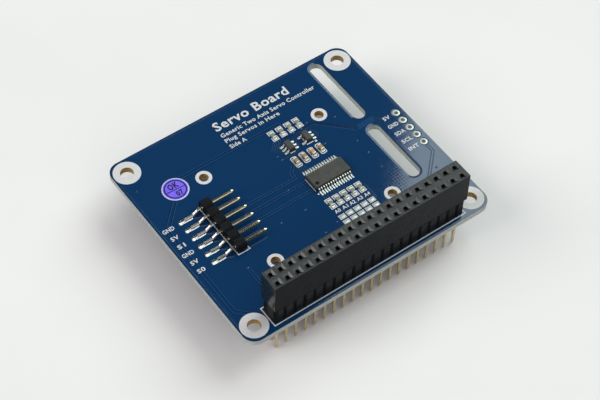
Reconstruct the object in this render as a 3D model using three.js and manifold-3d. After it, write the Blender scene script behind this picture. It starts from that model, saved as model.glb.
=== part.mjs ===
// Pan-tilt servo driver board: a 65 x 56.5 mm add-on circuit board with a tall 2 x 20 stacking
// socket along one long edge, a flat-lying six-pin servo header, a driver chip and its small parts.
// Millimetres, +Z up. X runs along the stacking socket and Y away from it.
// The origin is the centre of the board's underside, so the board fills z = 0 to its thickness.
import * as THREE from 'three';
import { mergeVertices } from 'three/addons/utils/BufferGeometryUtils.js';
import Module from 'manifold-3d';

const wasm = await Module();
wasm.setup();

// ---- Driving dimensions ----

const PITCH = 2.54;                 // pin spacing of both headers
const LIFT = 0.02;                  // air under every piece that rests on the board or on another piece
const PAST = 0.5;                   // how far a cutting tool runs past the faces that it cuts
const SIDES = { mountHole: 32, smallHole: 20, sensorPad: 12, pinHole: 8, corner: 5, sticker: 32 };

const BOARD = { length: 65, width: 56.5, thickness: 1.6, corner: 3 };
const TOP = BOARD.thickness;        // height of the board's top face
const MOUNT_HOLE = { x: 29, y: 24.5, radius: 1.55 };
const SMALL_HOLE = { x: 15.8, y: 13.7, radius: 1.1 };
const SLOT = { x: 23.45, width: 3.2, spans: [[-12.85, 4.35], [7.4, 26.7]] };
const SENSOR_PADS = { x: 30.55, y: -1.0, count: 5, radius: 0.45 };

// Stacking socket: housing on two insulator strips, with long contact tails through the board.
const COLUMNS = 20;
const SOCKET = { y: -24.5, length: 51, width: 5.08, height: 8.4, pinHole: 0.5 };
const STRIP = { height: 2.45, width: 5, notch: 0.45, corner: 0.8, hole: 0.36 };
const FUNNEL = { mouth: 0.9, throat: 0.45, depth: 0.5 };
const CAVITY = { half: 0.8, roof: 1.3 };
const CONTACT = { half: 0.32, tip: 0.16, tipLength: 0.7, tail: 9.7 };
const FORK = { half: 0.7, shoulder: 0.3, base: 1.2 };
const TINE = { width: 0.3, pinch: 0.2, flare: 0.1, grip: 0.9, headroom: 0.2 };

// Six-pin servo header lying flat, with its tails soldered to the board's surface.
const SERVO = { x: -20.15, y: -0.12, pins: 6, width: 2.4, bottom: 0.2, height: 2.35, notch: 0.45 };
const SERVO_PIN = { half: 0.32, axis: 1.32, tip: -13.05, knee: -22.4, foot: -23.8, end: -25.9 };
const SERVO_BORE = 0.34;            // half width of the square hole round each servo pin

// Chips: place, body size, leads on a side, lead pitch and width, and how far out the leads reach.
const DRIVER = { x: 7.18, y: -1.5, length: 9.7, width: 4.4, height: 1.05 };
const DRIVER_LEADS = { count: 14, pitch: 0.65, width: 0.24, reach: 3.2 };
const SMALL_CHIP = { y: 9.8, length: 1.6, width: 2.9, height: 1.1 };
const SMALL_LEADS = { count: 3, pitch: 0.95, width: 0.4, reach: 1.4 };
const SHIFTER_X = 4.67;
const REGULATOR_X = 9.5;
const LEAD = { thickness: 0.15, foot: 0.45, buried: 0.3 };
const MOULDING = { draft: 0.12, standoff: 0.1 };

// Surface-mount resistors and capacitors, in three rows.
const CHIP_PART = { length: 1.6, width: 0.8, cap: 0.32, capWall: 0.03, rail: 0.06 };
const RESISTORS = { x: 3.6, pitch: 2.25, count: 4, y: 14.55, height: 0.45 };
const CAPACITORS = { x: 3.6, pitch: 2.25, count: 4, y: 5.55, height: 0.8 };
const ADDRESS = { x: 2.95, pitch: 2.01, count: 5, y: -8.2, height: 0.45 };

const STICKER = { x: -22.75, y: 14.55, radius: 3.1, thickness: 0.1 };

// ---- Materials ----

function finish(color, roughness, metalness = 0) {
  return new THREE.MeshStandardMaterial({ color, roughness, metalness });
}

const solderMask = () => finish(0x16386b, 0.35);
const blackPlastic = () => finish(0x1b1c1f, 0.55);
const chipPlastic = () => finish(0x2b2c2e, 0.6);
const goldPlate = () => finish(0xc9b27a, 0.3, 1);
const tinPlate = () => finish(0xc8cbd0, 0.3, 1);
const ceramic = () => finish(0x8d8a84, 0.5);
const stickerVinyl = () => finish(0x7d63c9, 0.6);

// ---- Geometry helpers ----

const part = new THREE.Group();

function addPiece(name, geometry, material, position = [0, 0, 0]) {
  const mesh = new THREE.Mesh(geometry, material);
  mesh.name = name;
  mesh.position.set(...position);
  part.add(mesh);
}

function toSolid(geometry) {
  const bare = new THREE.BufferGeometry();
  bare.setAttribute('position', geometry.getAttribute('position').clone());
  bare.setIndex(geometry.getIndex());
  const merged = mergeVertices(bare, 1e-5);
  return new wasm.Manifold(new wasm.Mesh({
    numProp: 3,
    vertProperties: merged.getAttribute('position').array,
    triVerts: new Uint32Array(merged.getIndex().array),
  }));
}

function toGeometry(solid) {
  const mesh = solid.getMesh();
  const geometry = new THREE.BufferGeometry();
  geometry.setAttribute('position', new THREE.BufferAttribute(mesh.vertProperties, 3));
  geometry.setIndex(new THREE.BufferAttribute(mesh.triVerts, 1));
  const flat = geometry.toNonIndexed();
  flat.computeVertexNormals();
  return flat;
}

function joined(geometries) {
  return toGeometry(geometries.map(toSolid).reduce((all, next) => all.add(next)));
}

function box(x0, x1, y0, y1, z0, z1) {
  const geometry = new THREE.BoxGeometry(x1 - x0, y1 - y0, z1 - z0);
  return geometry.translate((x0 + x1) / 2, (y0 + y1) / 2, (z0 + z1) / 2);
}

// A closed body through centred rectangles: levels are [z, half size in X, half size in Y], upwards.
function rectangleLoft(levels) {
  const corners = levels.flatMap(([z, hx, hy]) => [[-hx, -hy, z], [hx, -hy, z], [hx, hy, z], [-hx, hy, z]]);
  const last = corners.length - 4;
  const faces = [0, 2, 1, 0, 3, 2, last, last + 1, last + 2, last, last + 2, last + 3];
  for (let level = 0; level < levels.length - 1; level += 1) {
    for (let side = 0; side < 4; side += 1) {
      const a = 4 * level + side;
      const b = 4 * level + (side + 1) % 4;
      faces.push(a, b, b + 4, a, b + 4, a + 4);
    }
  }
  const geometry = new THREE.BufferGeometry();
  geometry.setAttribute('position', new THREE.Float32BufferAttribute(corners.flat(), 3));
  geometry.setIndex(faces);
  return geometry;
}

function outline(points) {
  return new THREE.Shape(points.map(([u, v]) => new THREE.Vector2(u, v)));
}

function circlePath(x, y, radius, segments) {
  const points = [];
  for (let i = 0; i < segments; i += 1) {
    const angle = 2 * Math.PI * (i + 0.5) / segments;
    points.push(new THREE.Vector2(x + radius * Math.cos(angle), y + radius * Math.sin(angle)));
  }
  return new THREE.Path(points);
}

// A prism along Z: a plan outline extruded upwards from z.
function plate(shape, z, height) {
  const settings = { depth: height, bevelEnabled: false, curveSegments: SIDES.corner };
  return new THREE.ExtrudeGeometry(shape, settings).translate(0, 0, z);
}

// A prism along Y, centred on it: the outline is drawn in X and Z.
function profileAlongY(shape, width) {
  const geometry = new THREE.ExtrudeGeometry(shape, { depth: width, bevelEnabled: false });
  return geometry.rotateX(Math.PI / 2).translate(0, width / 2, 0);
}

// A prism along X, centred on it: the outline is drawn in Y and Z.
function profileAlongX(shape, width) {
  const geometry = new THREE.ExtrudeGeometry(shape, { depth: width, bevelEnabled: false });
  return geometry.rotateX(Math.PI / 2).rotateZ(Math.PI / 2).translate(-width / 2, 0, 0);
}

// ---- Circuit board ----

function roundedRectangle(length, width, radius) {
  const x = length / 2 - radius;
  const y = width / 2 - radius;
  const shape = new THREE.Shape();
  shape.absarc(x, -y, radius, -Math.PI / 2, 0);
  shape.absarc(x, y, radius, 0, Math.PI / 2);
  shape.absarc(-x, y, radius, Math.PI / 2, Math.PI);
  shape.absarc(-x, -y, radius, Math.PI, 1.5 * Math.PI);
  return shape;
}

function slotPath(x, low, high, radius) {
  const path = new THREE.Path();
  path.absarc(x, high - radius, radius, 0, Math.PI);
  path.absarc(x, low + radius, radius, Math.PI, 2 * Math.PI);
  return path;
}

// Plan position of one contact: column 0 to 19 along X, row 0 (outer edge) or 1.
function contactPlace(column, row) {
  return [(column - (COLUMNS - 1) / 2) * PITCH, SOCKET.y + (row - 0.5) * PITCH];
}

function everyContact(callback) {
  for (let column = 0; column < COLUMNS; column += 1) {
    for (const row of [0, 1]) {
      callback(...contactPlace(column, row), 2 * column + row + 1);
    }
  }
}

function addBoard() {
  const shape = roundedRectangle(BOARD.length, BOARD.width, BOARD.corner);
  for (const [hole, sides] of [[MOUNT_HOLE, SIDES.mountHole], [SMALL_HOLE, SIDES.smallHole]]) {
    for (const [sx, sy] of [[-1, -1], [-1, 1], [1, -1], [1, 1]]) {
      shape.holes.push(circlePath(sx * hole.x, sy * hole.y, hole.radius, sides));
    }
  }
  for (const [low, high] of SLOT.spans) {
    shape.holes.push(slotPath(SLOT.x, low, high, SLOT.width / 2));
  }
  for (let i = 0; i < SENSOR_PADS.count; i += 1) {
    const y = SENSOR_PADS.y + (i - (SENSOR_PADS.count - 1) / 2) * PITCH;
    shape.holes.push(circlePath(SENSOR_PADS.x, y, SENSOR_PADS.radius, SIDES.sensorPad));
  }
  everyContact((x, y) => shape.holes.push(circlePath(x, y, SOCKET.pinHole, SIDES.pinHole)));
  addPiece('circuit_board', plate(shape, 0, BOARD.thickness), solderMask());
}

// ---- Stacking socket ----

const STRIP_BOTTOMS = [TOP + LIFT, TOP + LIFT + STRIP.height];
const SOCKET_BOTTOM = TOP + 2 * LIFT + 2 * STRIP.height;
const SOCKET_TOP = SOCKET_BOTTOM + SOCKET.height;

// One long side of a strip, from its left corner to its right one, with a V at every column boundary.
function stripEdge() {
  const half = STRIP.width / 2;
  const end = COLUMNS * PITCH / 2;
  const points = [[-end, -half + STRIP.corner], [-end + STRIP.corner, -half]];
  for (let i = 1; i < COLUMNS; i += 1) {
    const x = -end + i * PITCH;
    points.push([x - STRIP.notch, -half], [x, -half + STRIP.notch], [x + STRIP.notch, -half]);
  }
  points.push([end - STRIP.corner, -half], [end, -half + STRIP.corner]);
  return points;
}

// One insulator strip: the plan outline with a square hole round every contact.
function stripGeometry(bottom) {
  const near = stripEdge();
  const far = near.map(([x, y]) => [-x, -y]);
  const shape = outline([...near, ...far].map(([x, y]) => [x, y + SOCKET.y]));
  let strip = toSolid(plate(shape, bottom, STRIP.height - LIFT));
  const half = STRIP.hole;
  const tool = toSolid(box(-half, half, -half, half, bottom - PAST, bottom + STRIP.height + PAST));
  everyContact((x, y) => {
    strip = strip.subtract(tool.translate([x, y, 0]));
  });
  return toGeometry(strip);
}

function addStrips() {
  addPiece('spacer_strip_lower', stripGeometry(STRIP_BOTTOMS[0]), blackPlastic());
  addPiece('spacer_strip_upper', stripGeometry(STRIP_BOTTOMS[1]), blackPlastic());
}

// The space of one socket position: a tapered mouth, a throat and a wide chamber open at the bottom.
function cavity() {
  const throatTop = SOCKET_TOP - FUNNEL.depth;
  const chamberTop = SOCKET_TOP - CAVITY.roof;
  const slope = (FUNNEL.mouth - FUNNEL.throat) / FUNNEL.depth;
  const above = FUNNEL.mouth + slope * PAST;
  const mouth = rectangleLoft([
    [chamberTop - PAST, FUNNEL.throat, FUNNEL.throat],
    [throatTop, FUNNEL.throat, FUNNEL.throat],
    [SOCKET_TOP + PAST, above, above],
  ]);
  const chamber = rectangleLoft([
    [SOCKET_BOTTOM - PAST, CAVITY.half, CAVITY.half],
    [chamberTop, CAVITY.half, CAVITY.half],
  ]);
  return toSolid(mouth).add(toSolid(chamber));
}

function addSocketHousing() {
  const halfLength = SOCKET.length / 2;
  const [near, far] = [SOCKET.y - SOCKET.width / 2, SOCKET.y + SOCKET.width / 2];
  const block = box(-halfLength, halfLength, near, far, SOCKET_BOTTOM, SOCKET_TOP);
  const opening = cavity();
  let housing = toSolid(block);
  everyContact((x, y) => {
    housing = housing.subtract(opening.translate([x, y, 0]));
  });
  addPiece('socket_housing', toGeometry(housing), blackPlastic());
}

// Half of a contact's outline, from the tail's tip up and over its right-hand spring tine.
function contactSide() {
  const { half, tip, tipLength, tail } = CONTACT;
  const { width, pinch } = TINE;
  const root = SOCKET_BOTTOM + FORK.shoulder;
  const crotch = root + FORK.base;
  const grip = SOCKET_TOP - CAVITY.roof - TINE.grip;
  const end = SOCKET_TOP - CAVITY.roof - TINE.headroom;
  const mouth = FORK.half - TINE.flare;
  return [
    [tip, -tail], [half, -tail + tipLength], [half, root], [FORK.half, root], [FORK.half, crotch],
    [pinch + width, grip], [mouth, end], [mouth - width, end], [pinch, grip], [FORK.half - width, crotch],
  ];
}

function addContacts() {
  const right = contactSide();
  const left = right.map(([x, z]) => [-x, z]).reverse();
  const geometry = profileAlongY(outline([...right, ...left]), 2 * CONTACT.half);
  everyContact((x, y, number) => {
    addPiece(`contact_${String(number).padStart(2, '0')}`, geometry, goldPlate(), [x, y, 0]);
  });
}

// ---- Servo header ----

function servoPinY(index) {
  return SERVO.y + ((SERVO.pins - 1) / 2 - index) * PITCH;
}

// Side view of the header's block, drawn in Y and Z: one eight-sided segment for each pin.
function servoOutline() {
  const low = TOP + SERVO.bottom;
  const high = low + SERVO.height;
  const under = [];
  const over = [];
  for (let i = SERVO.pins - 1; i >= 0; i -= 1) {
    const start = servoPinY(i) - PITCH / 2;
    const end = start + PITCH;
    under.push([start, low + SERVO.notch], [start + SERVO.notch, low], [end - SERVO.notch, low]);
    over.unshift([end - SERVO.notch, high], [start + SERVO.notch, high], [start, high - SERVO.notch]);
  }
  const last = servoPinY(0) + PITCH / 2;
  const farEnd = [[last, low + SERVO.notch], [last, high - SERVO.notch]];
  return outline([...under, ...farEnd, ...over]);
}

function addServoHousing() {
  const reach = SERVO.width / 2 + PAST;
  const half = SERVO_BORE;
  const axis = TOP + SERVO_PIN.axis;
  const tool = toSolid(box(-reach, reach, -half, half, axis - half, axis + half));
  let housing = toSolid(profileAlongX(servoOutline(), SERVO.width));
  for (let i = 0; i < SERVO.pins; i += 1) {
    housing = housing.subtract(tool.translate([0, servoPinY(i), 0]));
  }
  addPiece('servo_header_housing', toGeometry(housing), blackPlastic(), [SERVO.x, 0, 0]);
}

// Side view of one pin, drawn in X and Z: tapered tip, straight run, slope down and flat foot.
function servoPinOutline() {
  const { half, axis, tip, knee, foot, end } = SERVO_PIN;
  const upper = TOP + axis + half;
  const lower = TOP + axis - half;
  const footTop = TOP + LIFT + 2 * half;
  const footBottom = TOP + LIFT;
  const slant = 0.15;                // moves each bend's inner corner, which keeps the wire's thickness
  const taper = 0.16;
  return outline([
    [end, footBottom], [foot + slant, footBottom], [knee + slant, lower], [tip - 2 * taper, lower],
    [tip, lower + taper], [tip, upper - taper], [tip - 2 * taper, upper],
    [knee - slant, upper], [foot - slant, footTop], [end, footTop],
  ]);
}

function addServoPins() {
  const geometry = profileAlongY(servoPinOutline(), 2 * SERVO_PIN.half);
  for (let i = 0; i < SERVO.pins; i += 1) {
    addPiece(`servo_pin_${i + 1}`, geometry, goldPlate(), [0, servoPinY(i), 0]);
  }
}

// ---- Chips ----

// A bent lead that points along +X from the origin: out of the body, down, and flat on the board.
function gullWing(start, reach, bodyMiddle, width) {
  const t = LEAD.thickness;
  const bend = reach - LEAD.foot;
  const shape = outline([
    [start, bodyMiddle - t / 2], [bend - 2 * t, bodyMiddle - t / 2], [bend - t, 0], [reach, 0],
    [reach, t], [bend, t], [bend - t, bodyMiddle + t / 2], [start, bodyMiddle + t / 2],
  ]);
  return profileAlongY(shape, width);
}

// A moulded body whose four sides slope out to a waist at half its height.
function mouldedBody(length, width, height) {
  const { draft, standoff } = MOULDING;
  const middle = standoff + height / 2;
  return rectangleLoft([
    [standoff, length / 2 - draft, width / 2 - draft],
    [middle, length / 2, width / 2],
    [standoff + height, length / 2 - draft, width / 2 - draft],
  ]);
}

// A chip centred on the origin, whose leads leave it at bodyEdge from its middle. Each entry of
// sides is [heading of its leads in turns, offsets].
function chip(body, bodyEdge, leads, sides) {
  const { length, width, height } = body;
  const middle = MOULDING.standoff + height / 2;
  const lead = gullWing(bodyEdge - LEAD.buried, leads.reach, middle, leads.width);
  const allLeads = sides.flatMap(([turns, offsets]) => offsets.map((offset) => (
    lead.clone().translate(0, offset, 0).rotateZ(2 * Math.PI * turns)
  )));
  return joined([mouldedBody(length, width, height), ...allLeads]);
}

function evenOffsets(count, pitch) {
  return Array.from({ length: count }, (_, i) => (i - (count - 1) / 2) * pitch);
}

function addDriverChip() {
  const offsets = evenOffsets(DRIVER_LEADS.count, DRIVER_LEADS.pitch);
  const geometry = chip(DRIVER, DRIVER.width / 2, DRIVER_LEADS, [[0.25, offsets], [0.75, offsets]]);
  addPiece('driver_chip', geometry, chipPlastic(), [DRIVER.x, DRIVER.y, TOP + LIFT]);
}

// A six-place chip with every lead on its right-hand side and the given ones on its left.
function addSmallChip(name, x, leftOffsets) {
  const rightOffsets = evenOffsets(SMALL_LEADS.count, SMALL_LEADS.pitch);
  const sides = [[0, rightOffsets], [0.5, leftOffsets]];
  const geometry = chip(SMALL_CHIP, SMALL_CHIP.length / 2, SMALL_LEADS, sides);
  addPiece(name, geometry, chipPlastic(), [x, SMALL_CHIP.y, TOP + LIFT]);
}

// ---- Resistors and capacitors ----

// One two-terminal part standing along Y, with a plated cap round each end.
function chipPart(x, y, height) {
  const { length, width, cap, capWall } = CHIP_PART;
  const inside = length / 2 - capWall;
  const core = box(x - width / 2, x + width / 2, y - inside, y + inside, capWall, height);
  const caps = [-1, 1].map((side) => {
    const outer = y + side * length / 2;
    const inner = outer - side * cap;
    const half = width / 2 + capWall;
    return box(x - half, x + half, Math.min(outer, inner), Math.max(outer, inner), 0, height + capWall);
  });
  return [core, ...caps];
}

// A row of like parts on one shared supply rail, a thin copper line under their far ends.
function addPartRow(name, row, material) {
  const places = Array.from({ length: row.count }, (_, i) => row.x + i * row.pitch);
  const pieces = places.flatMap((x) => chipPart(x, row.y, row.height));
  const railEnd = row.y + CHIP_PART.length / 2 - CHIP_PART.capWall;
  const rail = box(places[0], places.at(-1), railEnd - 2 * CHIP_PART.rail, railEnd, 0, CHIP_PART.rail);
  addPiece(name, joined([...pieces, rail]), material, [0, 0, TOP + LIFT]);
}

// ---- Sticker ----

function addSticker() {
  const disc = new THREE.CylinderGeometry(STICKER.radius, STICKER.radius, STICKER.thickness, SIDES.sticker);
  disc.rotateX(Math.PI / 2);
  const z = TOP + LIFT + STICKER.thickness / 2;
  addPiece('inspection_sticker', disc, stickerVinyl(), [STICKER.x, STICKER.y, z]);
}

addBoard();
addStrips();
addSocketHousing();
addContacts();
addServoHousing();
addServoPins();
addDriverChip();
addSmallChip('level_shifter', SHIFTER_X, evenOffsets(SMALL_LEADS.count, SMALL_LEADS.pitch));
addSmallChip('voltage_regulator', REGULATOR_X, evenOffsets(2, 2 * SMALL_LEADS.pitch));
addPartRow('pullup_resistor_row', RESISTORS, tinPlate());
addPartRow('capacitor_row', CAPACITORS, ceramic());
addPartRow('address_resistor_row', ADDRESS, tinPlate());
addSticker();

export default part;
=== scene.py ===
"""Looks of a pan-tilt servo driver board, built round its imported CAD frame.

Shapes are drawn in millimetres and scaled to metres when a piece is made. X runs along the stacking
socket, Y away from it and Z up out of the component side. The board's underside is at Z = 0.
"""

import math

import bmesh
import bpy
from mathutils import Matrix, Quaternion, Vector
from mathutils.geometry import tessellate_polygon


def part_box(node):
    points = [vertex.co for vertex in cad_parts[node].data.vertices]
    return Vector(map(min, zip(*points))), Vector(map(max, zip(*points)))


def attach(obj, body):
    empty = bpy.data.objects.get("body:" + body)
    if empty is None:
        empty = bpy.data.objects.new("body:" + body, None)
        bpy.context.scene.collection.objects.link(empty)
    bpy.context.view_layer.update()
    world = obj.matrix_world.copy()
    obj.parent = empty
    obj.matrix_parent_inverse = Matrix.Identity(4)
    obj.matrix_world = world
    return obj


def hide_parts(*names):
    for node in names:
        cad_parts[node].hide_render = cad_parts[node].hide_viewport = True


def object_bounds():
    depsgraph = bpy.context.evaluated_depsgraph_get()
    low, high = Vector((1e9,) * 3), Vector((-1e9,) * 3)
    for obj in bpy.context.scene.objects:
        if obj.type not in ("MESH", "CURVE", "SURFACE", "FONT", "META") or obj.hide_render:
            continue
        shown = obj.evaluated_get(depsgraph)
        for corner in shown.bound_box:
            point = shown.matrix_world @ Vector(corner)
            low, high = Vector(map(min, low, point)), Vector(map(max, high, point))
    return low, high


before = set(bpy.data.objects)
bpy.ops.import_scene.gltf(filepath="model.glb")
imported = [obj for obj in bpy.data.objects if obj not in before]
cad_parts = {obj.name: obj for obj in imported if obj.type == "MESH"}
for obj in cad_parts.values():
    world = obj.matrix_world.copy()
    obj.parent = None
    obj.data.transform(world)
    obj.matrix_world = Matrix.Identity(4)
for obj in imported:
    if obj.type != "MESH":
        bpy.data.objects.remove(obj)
cad_low, cad_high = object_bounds()

MM = 0.001
PER_MM = 1000.0                      # texture scale: features in each millimetre


def corners(node):
    """A CAD node's lowest and highest corners, in millimetres."""
    low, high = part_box(node)
    return low / MM, high / MM


def middle(node):
    low, high = corners(node)
    return (low + high) / 2


# ---- Driving dimensions, in millimetres ----

PITCH = 2.54
BOARD_LOW, BOARD_HIGH = corners("circuit_board")
TOP = BOARD_HIGH.z
BOARD_CORNER = 3.0
MOUNT_HOLE = {"x": 29.0, "y": 24.5, "radius": 1.55, "ring": 3.17}
SMALL_HOLE = {"x": 15.8, "y": 13.7, "radius": 1.1, "ring": 1.88}
SLOT = {"x": 23.45, "half": 1.6, "spans": [(-12.85, 4.35), (7.4, 26.7)]}
SENSOR_PAD = {"x": 30.55, "y": -1.0, "count": 5, "bore": 0.48, "radius": 0.9}
CONTACTS = [f"contact_{number:02d}" for number in range(1, 41)]
SERVO_PINS = [f"servo_pin_{number}" for number in range(1, 7)]

COPPER = 0.035                       # thickness of the copper under the lacquer
INK = 0.02                           # thickness of the printed legend
TIN = 0.05                           # height of a tinned pad above the lacquer
LINE = 0.2                           # width of most legend lines

ALL_CORNERS = [(-1, -1), (-1, 1), (1, -1), (1, 1)]


# ---- Plan outlines ----

def circle(x, y, radius, sides=48):
    turns = [2 * math.pi * (i + 0.5) / sides for i in range(sides)]
    return [(x + radius * math.cos(a), y + radius * math.sin(a)) for a in turns]


def rounded_box(x0, x1, y0, y1, radius, steps=6):
    """A rectangle with round corners, counterclockwise."""
    points = []
    centres = [(x1 - radius, y1 - radius), (x0 + radius, y1 - radius),
               (x0 + radius, y0 + radius), (x1 - radius, y0 + radius)]
    for quarter, (cx, cy) in enumerate(centres):
        for i in range(steps + 1):
            angle = math.pi / 2 * (quarter + i / steps)
            points.append((cx + radius * math.cos(angle), cy + radius * math.sin(angle)))
    return points


def slot_outline(low, high, steps=14):
    half = SLOT["half"]
    return rounded_box(SLOT["x"] - half, SLOT["x"] + half, low, high, half * 0.999, steps)


def box_outline(x0, x1, y0, y1):
    return [(x0, y0), (x1, y0), (x1, y1), (x0, y1)]


def grown(points, distance):
    """A closed counterclockwise outline moved outwards by a distance, with mitred corners."""
    result = []
    for before, here, after in zip(points[-1:] + points[:-1], points, points[1:] + points[:1]):
        ahead = (Vector(after) - Vector(here)).normalized()
        behind = (Vector(here) - Vector(before)).normalized()
        normals = Vector((behind.y, -behind.x)), Vector((ahead.y, -ahead.x))
        mitre = (normals[0] + normals[1]) / (1 + normals[0].dot(normals[1]))
        result.append(tuple(Vector(here) + distance * mitre))
    return result


def beside(points, distance):
    """An open line moved to its left by a distance."""
    result = []
    for i, here in enumerate(points):
        ahead = Vector(points[min(i + 1, len(points) - 1)]) - Vector(points[min(i, len(points) - 2)])
        behind = Vector(points[max(i, 1)]) - Vector(points[max(i - 1, 0)])
        normals = [Vector((-d.y, d.x)).normalized() for d in (ahead, behind)]
        mitre = (normals[0] + normals[1]) / (1 + normals[0].dot(normals[1]))
        result.append(tuple(Vector(here) + distance * mitre))
    return result


# ---- Bodies ----

class Body:
    """Vertices in millimetres and faces with a material number, gathered shape by shape."""

    def __init__(self):
        self.vertices = []
        self.faces = []
        self.numbers = []
        self.smooth = []

    def add(self, vertices, faces, number=0, smooth=True):
        start = len(self.vertices)
        self.vertices += [Vector(v) for v in vertices]
        self.faces += [[start + i for i in face] for face in faces]
        self.numbers += [number] * len(faces)
        self.smooth += [smooth] * len(faces)

    def lacquered(self, face, low, high):
        """Whether a face of the board touches its top or underside."""
        return any(not low + 0.001 < self.vertices[i].z < high - 0.001 for i in face)

    def at_end(self, face, low, high):
        """Whether a face lies at the lowest or highest X."""
        return all(not low + 0.02 < self.vertices[i].x < high - 0.02 for i in face)

    def join(self, other, matrix):
        """Adds another body, moved by a matrix."""
        start = len(self.vertices)
        self.vertices += [matrix @ v for v in other.vertices]
        self.faces += [[start + i for i in face] for face in other.faces]
        self.numbers += other.numbers
        self.smooth += other.smooth

    def loft(self, rings, number=0, closed=True):
        """Skins rings with equal numbers of points, and closes both ends."""
        size = len(rings[0])
        faces = []
        for level in range(len(rings) - 1):
            for i in range(size):
                a = level * size + i
                b = level * size + (i + 1) % size
                faces.append((a, b, b + size, a + size))
        if closed:
            faces.append(tuple(range(size)))
            faces.append(tuple((len(rings) - 1) * size + i for i in range(size)))
        self.add([point for ring in rings for point in ring], faces, number)

    def cap(self, loops, height, number=0):
        """A flat face at a height inside the first loop and outside the others."""
        flat = [[Vector((x, y, height)) for x, y in loop] for loop in loops]
        triangles = tessellate_polygon(flat)
        self.add([point for loop in flat for point in loop], triangles, number, smooth=False)

    def plate(self, outer, holes, levels, cap=0, wall=0, bores=()):
        """A plate with holes. Levels are (height, growth) pairs; a hole shrinks as the edge grows."""
        loops = [outer, *holes]
        signs = [1] + [-1] * len(holes)
        numbers = [wall, *bores] + [wall] * (len(holes) - len(bores))
        for loop, sign, number in zip(loops, signs, numbers):
            rings = [level_ring(grown(loop, sign * growth), z) for z, growth in levels]
            self.loft(rings, number, closed=False)
        for z, growth in (levels[0], levels[-1]):
            self.cap([grown(loop, sign * growth) for loop, sign in zip(loops, signs)], z, cap)

    def block(self, x0, x1, y0, y1, z0, z1, edge=0.03, number=0, round_edge=None):
        """A box with rounded upright corners and softened top and bottom edges."""
        outline = rounded_box(x0, x1, y0, y1, round_edge or edge, steps=2)
        levels = [(z0, -edge), (z0 + edge, 0), (z1 - edge, 0), (z1, -edge)]
        levels[0:1] = [(z0, -0.9 * edge)]
        levels[-1:] = [(z1, -0.9 * edge)]
        self.loft([level_ring(grown(outline, growth), z) for z, growth in levels], number)

    def ribbon(self, points, width, z0, z1, crest=None, number=0):
        """A flat strip along an open line, whose top may be narrower than its foot."""
        rings = []
        for z, across in ((z0, width), (z1, width if crest is None else crest)):
            right = beside(points, -across / 2)
            left = beside(points, across / 2)
            rings.append(level_ring(right + left[::-1], z))
        self.loft(rings, number)

    def turned(self, x, y, profile, sides=24, number=0):
        """A round body about an upright axis, from (radius, height) pairs."""
        self.loft([level_ring(circle(x, y, radius, sides), z) for radius, z in profile], number)

    def eyelet(self, x, y, profile, sides=32, number=0):
        """A round body with a hole through it, from a closed run of (radius, height) pairs."""
        rings = [level_ring(circle(x, y, radius, sides), z) for radius, z in profile]
        self.loft(rings + rings[:1], number, closed=False)

    def mound(self, x0, x1, y0, y1, z, height, steps=(12, 8), corner=0.1, number=0):
        """A closed lump on a rectangle, whose height depends on u and v from -1 to 1."""
        columns, rows = steps
        centre = Vector(((x0 + x1) / 2, (y0 + y1) / 2))
        half = Vector(((x1 - x0) / 2, (y1 - y0) / 2))
        vertices = []
        for level in (0, 1):
            for j in range(rows + 1):
                for i in range(columns + 1):
                    u = 2 * i / columns - 1
                    v = 2 * j / rows - 1
                    x = centre.x + half.x * u * (1 - corner * v ** 4)
                    y = centre.y + half.y * v * (1 - corner * u ** 4)
                    vertices.append((x, y, z + level * height(u, v)))
        span = columns + 1
        upper = span * (rows + 1)
        faces = []
        for j in range(rows):
            for i in range(columns):
                a = j * span + i
                quad = (a, a + 1, a + span + 1, a + span)
                faces.append(quad)
                faces.append(tuple(upper + k for k in quad))
        border = [i for i in range(columns)]
        border += [columns + j * span for j in range(rows)]
        border += [rows * span + columns - i for i in range(columns)]
        border += [(rows - j) * span for j in range(rows)]
        for a, b in zip(border, border[1:] + border[:1]):
            faces.append((a, b, upper + b, upper + a))
        self.add(vertices, faces, number)

    def letters(self, text, left, base, height, z0, z1, width=None, weight=0.0, number=0):
        """Lettering with its capitals a given height, from its left end and base line."""
        curve = bpy.data.curves.new("lettering", "FONT")
        curve.body = text
        curve.offset = weight
        curve.extrude = 0.5
        curve.space_character = 1.08
        curve.resolution_u = 2
        shape = bpy.data.objects.new("lettering", curve)
        bpy.context.scene.collection.objects.link(shape)
        bpy.context.view_layer.update()
        mesh = bpy.data.meshes.new_from_object(shape.evaluated_get(bpy.context.evaluated_depsgraph_get()))
        start = min(v.co.x for v in mesh.vertices)
        end = max(v.co.x for v in mesh.vertices)
        rise = height / CAPITAL_HEIGHT
        stretch = rise if width is None else width / (end - start)
        vertices = [(left + (v.co.x - start) * stretch, base + v.co.y * rise,
                     (z0 + z1) / 2 + v.co.z * (z1 - z0)) for v in mesh.vertices]
        self.add(vertices, [list(polygon.vertices) for polygon in mesh.polygons], number)
        bpy.data.objects.remove(shape)
        bpy.data.curves.remove(curve)
        bpy.data.meshes.remove(mesh)


CAPITAL_HEIGHT = 0.7                 # of the built-in lettering, at size 1


def level_ring(points, z):
    return [(x, y, z) for x, y in points]


def make_mesh(name, body, materials):
    mesh = bpy.data.meshes.new(name)
    mesh.from_pydata([v * MM for v in body.vertices], [], body.faces)
    mesh.polygons.foreach_set("material_index", body.numbers)
    mesh.polygons.foreach_set("use_smooth", body.smooth)
    work = bmesh.new()
    work.from_mesh(mesh)
    bmesh.ops.remove_doubles(work, verts=work.verts, dist=0.0001 * MM)
    bmesh.ops.recalc_face_normals(work, faces=work.faces)
    work.to_mesh(mesh)
    work.free()
    for finish in materials:
        mesh.materials.append(finish)
    smooth = [polygon.use_smooth for polygon in mesh.polygons]
    mesh.set_sharp_from_angle(angle=math.radians(35))
    mesh.polygons.foreach_set("use_smooth", smooth)
    return mesh


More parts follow.
